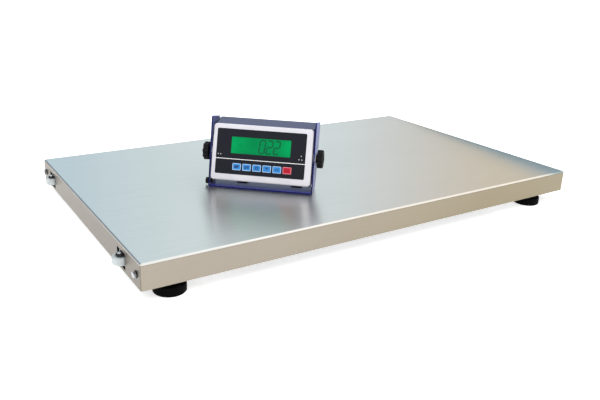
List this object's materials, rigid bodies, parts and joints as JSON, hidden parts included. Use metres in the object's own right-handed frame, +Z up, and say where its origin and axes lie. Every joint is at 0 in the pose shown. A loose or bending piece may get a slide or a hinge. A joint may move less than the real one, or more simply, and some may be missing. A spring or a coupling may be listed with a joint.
{
  "type": "platform shipping scale",
  "caption": "Low stainless platform scale on levelling feet with end rollers and a tilting digital indicator on a bent steel stand.",
  "frame": {"origin": "on the floor, under the centre of the whole object's bounding box", "axes": "+X along the platform's long side away from the rollers, +Y to its rear, +Z up"},
  "size_m": [1.0204, 0.6, 0.2069],
  "materials": {
    "stainless": "brushed",
    "frame_steel": "satin",
    "cell_nickel": "satin",
    "zinc": "satin",
    "bright_bolt": "polished",
    "rubber": "matte",
    "nylon": "satin",
    "box_plastic": "matte",
    "black_plastic": "satin",
    "navy_paint": "gloss",
    "navy_plastic": "gloss",
    "white_plastic": "gloss",
    "fascia_film": "satin",
    "display": "gloss",
    "circuit_board": "satin",
    "battery_case": "matte",
    "key_blue": "satin",
    "key_red": "satin"
  },
  "bodies": {
    "platform": {"deck_cover": "stainless", "side_channel_front": "frame_steel", "side_channel_rear": "frame_steel", "end_rail_left": "frame_steel", "end_rail_right": "frame_steel", "cross_rail_1": "frame_steel", "cross_rail_2": "frame_steel", "cross_rail_3": "frame_steel", "cell_spacers": "zinc", "cell_bolts": "zinc", "foot_lock_nuts": "zinc", "cover_bolts": "bright_bolt", "junction_box": "box_plastic", "junction_lid": "box_plastic", "junction_screws": "zinc", "junction_glands": "black_plastic", "load_cell_front_left": "cell_nickel", "load_cell_front_right": "cell_nickel", "load_cell_rear_left": "cell_nickel", "load_cell_rear_right": "cell_nickel", "roller_fork_near": "zinc", "roller_axle_near": "bright_bolt", "roller_fork_far": "zinc", "roller_axle_far": "bright_bolt"},
    "foot_front_left": {"foot_pad_front_left": "rubber"},
    "stud_front_left": {"foot_stud_front_left": "zinc"},
    "foot_front_right": {"foot_pad_front_right": "rubber"},
    "stud_front_right": {"foot_stud_front_right": "zinc"},
    "foot_rear_left": {"foot_pad_rear_left": "rubber"},
    "stud_rear_left": {"foot_stud_rear_left": "zinc"},
    "foot_rear_right": {"foot_pad_rear_right": "rubber"},
    "stud_rear_right": {"foot_stud_rear_right": "zinc"},
    "roller_near": {"roller_near": "nylon"},
    "roller_far": {"roller_far": "nylon"},
    "stand": {"stand_bracket": "navy_paint", "stand_pads": "rubber", "stand_screw": "black_plastic"},
    "indicator": {"rear_housing": "navy_plastic", "front_bezel": "white_plastic", "bezel_gasket": "rubber", "fascia": "fascia_film", "display_module": "display", "main_board": "circuit_board", "battery": "battery_case", "housing_screws": "zinc", "housing_glands": "black_plastic", "pivot_washers": "nylon"},
    "washer_right": {"clamp_washer_right": "zinc"},
    "knob_right": {"clamp_knob_right": "black_plastic", "clamp_stud_right": "zinc"},
    "washer_left": {"clamp_washer_left": "zinc"},
    "knob_left": {"clamp_knob_left": "black_plastic", "clamp_stud_left": "zinc"},
    "key_1": {"key_1": "key_blue"},
    "key_2": {"key_2": "key_blue"},
    "key_3": {"key_3": "key_blue"},
    "key_4": {"key_4": "key_blue"},
    "key_5": {"key_5": "key_blue"},
    "key_6": {"key_6": "key_red"}
  },
  "joints": [
    {"name": "level_front_left", "type": "slide", "parent": "platform", "child": "foot_front_left", "axis": [0, 0, -1], "range_m": [0, 0.00875]},
    {"name": "turn_front_left", "type": "hinge", "parent": "foot_front_left", "child": "stud_front_left", "pos_m": [-0.4372, -0.27, 0.02], "axis": [0, 0, 1], "range_deg": [0, 1800]},
    {"name": "level_front_right", "type": "slide", "parent": "platform", "child": "foot_front_right", "axis": [0, 0, -1], "range_m": [0, 0.00875]},
    {"name": "turn_front_right", "type": "hinge", "parent": "foot_front_right", "child": "stud_front_right", "pos_m": [0.4228, -0.27, 0.02], "axis": [0, 0, 1], "range_deg": [0, 1800]},
    {"name": "level_rear_left", "type": "slide", "parent": "platform", "child": "foot_rear_left", "axis": [0, 0, -1], "range_m": [0, 0.00875]},
    {"name": "turn_rear_left", "type": "hinge", "parent": "foot_rear_left", "child": "stud_rear_left", "pos_m": [-0.4372, 0.27, 0.02], "axis": [0, 0, 1], "range_deg": [0, 1800]},
    {"name": "level_rear_right", "type": "slide", "parent": "platform", "child": "foot_rear_right", "axis": [0, 0, -1], "range_m": [0, 0.00875]},
    {"name": "turn_rear_right", "type": "hinge", "parent": "foot_rear_right", "child": "stud_rear_right", "pos_m": [0.4228, 0.27, 0.02], "axis": [0, 0, 1], "range_deg": [0, 1800]},
    {"name": "roll_near", "type": "hinge", "parent": "platform", "child": "roller_near", "pos_m": [-0.4952, -0.212, 0.043], "axis": [0, 0, 1], "continuous": true},
    {"name": "roll_far", "type": "hinge", "parent": "platform", "child": "roller_far", "pos_m": [-0.4952, 0.226, 0.043], "axis": [0, 0, 1], "continuous": true},
    {"name": "lift_off", "type": "slide", "parent": "platform", "child": "stand", "axis": [0, 0, 1], "range_m": [0, 0.3]},
    {"name": "tilt", "type": "hinge", "parent": "stand", "child": "indicator", "pos_m": [-0.15284, -0.07439, 0.135], "axis": [0.7455, -0.6665, 0], "range_deg": [-60, 35]},
    {"name": "clamp_out_right", "type": "slide", "parent": "indicator", "child": "washer_right", "axis": [0.7455, -0.6665, 0], "range_m": [0, 0.002]},
    {"name": "clamp_turn_right", "type": "hinge", "parent": "washer_right", "child": "knob_right", "pos_m": [-0.07083, -0.14771, 0.135], "axis": [0.7455, -0.6665, 0], "range_deg": [0, 720]},
    {"name": "clamp_out_left", "type": "slide", "parent": "indicator", "child": "washer_left", "axis": [-0.7455, 0.6665, 0], "range_m": [0, 0.002]},
    {"name": "clamp_turn_left", "type": "hinge", "parent": "washer_left", "child": "knob_left", "pos_m": [-0.23484, -0.00107, 0.135], "axis": [-0.7455, 0.6665, 0], "range_deg": [0, 720]},
    {"name": "press_1", "type": "slide", "parent": "indicator", "child": "key_1", "axis": [0.6357, 0.711, -0.3007], "range_m": [0, 0.0004], "stiffness_N_per_m": 4000},
    {"name": "press_2", "type": "slide", "parent": "indicator", "child": "key_2", "axis": [0.6357, 0.711, -0.3007], "range_m": [0, 0.0004], "stiffness_N_per_m": 4000},
    {"name": "press_3", "type": "slide", "parent": "indicator", "child": "key_3", "axis": [0.6357, 0.711, -0.3007], "range_m": [0, 0.0004], "stiffness_N_per_m": 4000},
    {"name": "press_4", "type": "slide", "parent": "indicator", "child": "key_4", "axis": [0.6357, 0.711, -0.3007], "range_m": [0, 0.0004], "stiffness_N_per_m": 4000},
    {"name": "press_5", "type": "slide", "parent": "indicator", "child": "key_5", "axis": [0.6357, 0.711, -0.3007], "range_m": [0, 0.0004], "stiffness_N_per_m": 4000},
    {"name": "press_6", "type": "slide", "parent": "indicator", "child": "key_6", "axis": [0.6357, 0.711, -0.3007], "range_m": [0, 0.0004], "stiffness_N_per_m": 4000}
  ],
  "couplings": [
    {"joint": "turn_front_left", "follows": "level_front_left", "rad_per_m": 3590},
    {"joint": "turn_front_right", "follows": "level_front_right", "rad_per_m": 3590},
    {"joint": "turn_rear_left", "follows": "level_rear_left", "rad_per_m": 3590},
    {"joint": "turn_rear_right", "follows": "level_rear_right", "rad_per_m": 3590},
    {"joint": "clamp_turn_right", "follows": "clamp_out_right", "rad_per_m": 6283},
    {"joint": "clamp_turn_left", "follows": "clamp_out_left", "rad_per_m": 6283}
  ]
}
